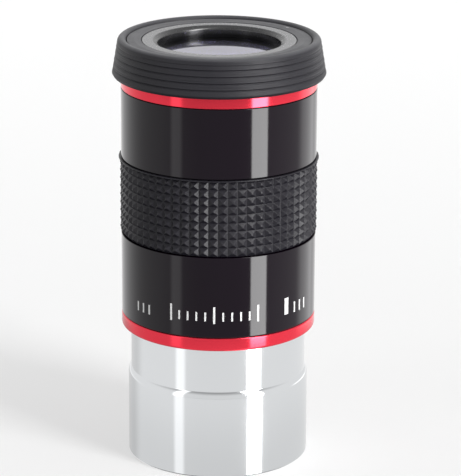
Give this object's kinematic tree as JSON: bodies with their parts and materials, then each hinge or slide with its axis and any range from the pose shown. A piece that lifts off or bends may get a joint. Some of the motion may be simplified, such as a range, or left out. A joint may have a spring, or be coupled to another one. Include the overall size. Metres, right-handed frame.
{
  "type": "telescope eyepiece",
  "caption": "Telescope eyepiece with a push-fit nose barrel, filter thread, rubber grip band and a rubber eyecup that folds up for the eye or down over the eye end.",
  "frame": {"origin": "centre of the barrel's mouth face", "axes": "+Z along the optical axis towards the eye; the part is round, so +X and +Y are only fixed by the first grub screw on +X"},
  "size_m": [0.037, 0.037, 0.0752],
  "materials": {
    "chrome": "polished chrome plate",
    "gloss_black_metal": "gloss black anodised aluminium",
    "satin_black_metal": "satin black anodised aluminium",
    "matt_black_metal": "matt black anodised aluminium",
    "red_anodised": "bright red anodised aluminium",
    "grip_rubber": "moulded matt black rubber",
    "eyecup_rubber": "soft matt black rubber",
    "coated_glass": "polished optical glass with an anti-reflection coating",
    "black_steel": "blackened steel"
  },
  "bodies": {
    "eyepiece": {"chrome_barrel": "chrome", "field_lens_cell": "matt_black_metal", "field_flint": "coated_glass", "field_crown": "coated_glass", "field_retaining_ring": "matt_black_metal", "lower_trim_ring": "red_anodised", "upper_trim_ring": "red_anodised", "body_tube": "gloss_black_metal", "grub_screws": "black_steel", "grip_sleeve": "grip_rubber", "lens_housing": "matt_black_metal", "eye_cap": "satin_black_metal", "eye_lens": "coated_glass", "lens_spacer": "matt_black_metal", "middle_lens": "coated_glass", "doublet_crown": "coated_glass", "doublet_flint": "coated_glass", "doublet_retaining_ring": "matt_black_metal", "field_stop": "matt_black_metal"},
    "collar": {"eyecup_collar": "eyecup_rubber"},
    "skirt": {"eyecup_skirt": "eyecup_rubber"}
  },
  "joints": [
    {"name": "eyecup_turn", "type": "hinge", "parent": "eyepiece", "child": "collar", "pos_m": [0, 0, 0.0725], "axis": [0, 0, 1], "continuous": true},
    {"name": "eyecup_fold", "type": "slide", "parent": "collar", "child": "skirt", "axis": [0, 0, 1], "range_m": [0, 0.012]}
  ]
}
